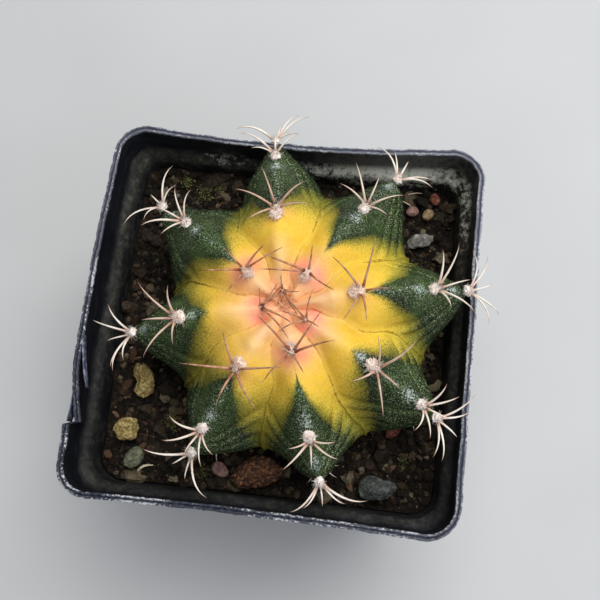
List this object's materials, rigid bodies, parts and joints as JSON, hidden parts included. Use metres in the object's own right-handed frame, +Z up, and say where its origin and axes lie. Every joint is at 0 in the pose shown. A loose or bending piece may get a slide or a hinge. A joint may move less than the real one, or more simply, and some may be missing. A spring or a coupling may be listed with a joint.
{
  "type": "potted cactus",
  "caption": "Small ribbed chin cactus, flattened globe with sharp star-like ribs and spine clusters, growing in gritty soil in a square black nursery pot.",
  "frame": {"origin": "centre of the pot's flat underside, on the surface the pot stands on", "axes": "+Z up along the pot's axis, with the pot's four walls facing +X, -X, +Y and -Y"},
  "size_m": [0.0745, 0.0729, 0.0834],
  "materials": {
    "black_plastic": "thin moulded black plastic, dusty",
    "potting_soil": "dark humus and grit, rough and damp",
    "cactus_skin": "waxy skin, dark green with yellow and salmon variegation",
    "wool_and_spines": "cream wool with pale horny spines",
    "young_spines": "tan young spines",
    "pumice": "porous pale yellow pumice",
    "grey_gravel": "water-worn grey gravel",
    "pink_gravel": "water-worn pinkish gravel",
    "lava": "rough porous brown lava grit"
  },
  "bodies": {
    "root": {"areole_east_1": "wool_and_spines", "areole_east_2": "wool_and_spines", "areole_east_3": "wool_and_spines", "areole_east_4": "wool_and_spines", "areole_north_1": "wool_and_spines", "areole_north_2": "wool_and_spines", "areole_north_3": "wool_and_spines", "areole_north_4": "wool_and_spines", "areole_north_5": "wool_and_spines", "areole_northeast_1": "wool_and_spines", "areole_northeast_2": "wool_and_spines", "areole_northeast_3": "wool_and_spines", "areole_northeast_4": "wool_and_spines", "areole_northwest_1": "wool_and_spines", "areole_northwest_2": "wool_and_spines", "areole_northwest_3": "wool_and_spines", "areole_northwest_4": "wool_and_spines", "areole_south_1": "wool_and_spines", "areole_south_2": "wool_and_spines", "areole_south_3": "wool_and_spines", "areole_south_4": "wool_and_spines", "areole_southeast_1": "wool_and_spines", "areole_southeast_2": "wool_and_spines", "areole_southeast_3": "wool_and_spines", "areole_southeast_4": "wool_and_spines", "areole_southeast_5": "wool_and_spines", "areole_southwest_1": "wool_and_spines", "areole_southwest_2": "wool_and_spines", "areole_southwest_3": "wool_and_spines", "areole_southwest_4": "wool_and_spines", "areole_west_1": "wool_and_spines", "areole_west_2": "wool_and_spines", "areole_west_3": "wool_and_spines", "areole_west_4": "wool_and_spines", "blue_grey_stone": "grey_gravel", "cactus_body": "cactus_skin", "crown_tuft": "young_spines", "grey_green_stone": "grey_gravel", "lava_stone": "lava", "light_grey_stone": "grey_gravel", "orange_brown_stone": "lava", "pink_grey_stone": "pink_gravel", "pink_stone": "pink_gravel", "pot": "black_plastic", "pumice_stone_southwest": "pumice", "pumice_stone_west": "pumice", "red_stone": "lava", "soil": "potting_soil", "tan_stone": "pink_gravel"}
  },
  "joints": []
}
